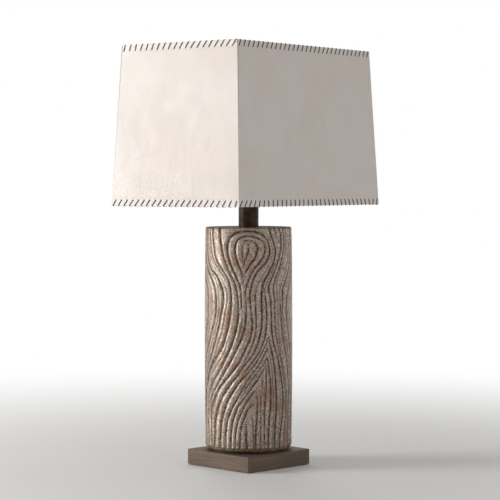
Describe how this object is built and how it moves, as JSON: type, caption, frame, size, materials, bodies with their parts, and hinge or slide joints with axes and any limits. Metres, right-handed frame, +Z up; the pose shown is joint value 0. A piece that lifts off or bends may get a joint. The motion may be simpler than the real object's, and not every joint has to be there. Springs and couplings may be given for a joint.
{
  "type": "column table lamp",
  "caption": "Table lamp with a square wooden plinth, a carved round column in silver leaf and a rectangular laced hide shade on a harp.",
  "frame": {"origin": "centre of the base, on the table", "axes": "+Z up the column; +Y out of the plinth's side that has the cord inlet; the plinth is square to X and Y"},
  "size_m": [0.4868, 0.3584, 0.79],
  "materials": {
    "felt": "dark brown wool felt",
    "oak": "limed grey-brown oak, dull waxed",
    "plain_wood": "bare turned wood",
    "silvered_wood": "carved wood, silver leaf over red bole, dark patina in the grooves",
    "gilt_wood": "wood with an olive gold rub",
    "dark_bronze": "dark bronze, satin",
    "brass": "satin brass",
    "steel": "zinc-plated steel",
    "aluminium": "bright pressed aluminium",
    "black_plastic": "black moulded phenolic",
    "card": "brown pressed card",
    "frosted_glass": "frosted inside",
    "hide": "pale stretched rawhide, faint mottling",
    "lace": "dark brown leather lace",
    "wire": "cream painted steel wire"
  },
  "bodies": {
    "lamp": {"base_felt": "felt", "plinth": "oak", "cord_grommet": "black_plastic", "plinth_washer": "steel", "plinth_nut": "steel", "foot_disc": "dark_bronze", "lamp_pipe": "steel", "column_shell": "silvered_wood", "column_bottom_disc": "plain_wood", "column_top_disc": "gilt_wood", "neck_sleeve": "dark_bronze", "neck_check_ring": "brass", "harp_saddle": "brass", "saddle_nut": "brass", "harp_bow": "brass", "harp_stud": "brass", "socket_cap": "brass", "socket_shell": "brass", "socket_liner": "card", "socket_core": "black_plastic", "socket_screw_shell": "aluminium", "socket_contact": "brass", "terminal_screws": "brass"},
    "shade": {"shade_panel_front": "hide", "shade_panel_right": "hide", "shade_panel_back": "hide", "shade_panel_left": "hide", "shade_frame_top": "wire", "shade_frame_bottom": "wire", "shade_corner_posts": "wire", "spider_hub": "brass", "spider_arms": "brass", "lacing_top": "lace", "lacing_bottom": "lace"},
    "finial": {"finial": "dark_bronze"},
    "switch_knob": {"switch_shaft": "brass", "switch_knob": "black_plastic"},
    "bulb": {"bulb_contact": "steel", "bulb_insulator": "black_plastic", "bulb_cap": "aluminium", "bulb_glass": "frosted_glass"},
    "harp_sleeve_right": {"harp_sleeve_right": "brass"},
    "harp_sleeve_left": {"harp_sleeve_left": "brass"}
  },
  "joints": [
    {"name": "shade_swivel", "type": "hinge", "parent": "lamp", "child": "shade", "pos_m": [0, 0, 0.766], "axis": [0, 0, 1], "continuous": true},
    {"name": "finial_turn", "type": "hinge", "parent": "lamp", "child": "finial", "pos_m": [0, 0, 0.7681], "axis": [0, 0, 1], "continuous": true},
    {"name": "switch_turn", "type": "hinge", "parent": "lamp", "child": "switch_knob", "pos_m": [0, 0, 0.5361], "axis": [0, -1, 0], "continuous": true},
    {"name": "bulb_turn", "type": "hinge", "parent": "lamp", "child": "bulb", "pos_m": [0, 0, 0.5468], "axis": [0, 0, 1], "continuous": true},
    {"name": "sleeve_right_lift", "type": "slide", "parent": "lamp", "child": "harp_sleeve_right", "axis": [0, 0, 1], "range_m": [0, 0.012]},
    {"name": "sleeve_left_lift", "type": "slide", "parent": "lamp", "child": "harp_sleeve_left", "axis": [0, 0, 1], "range_m": [0, 0.012]}
  ]
}
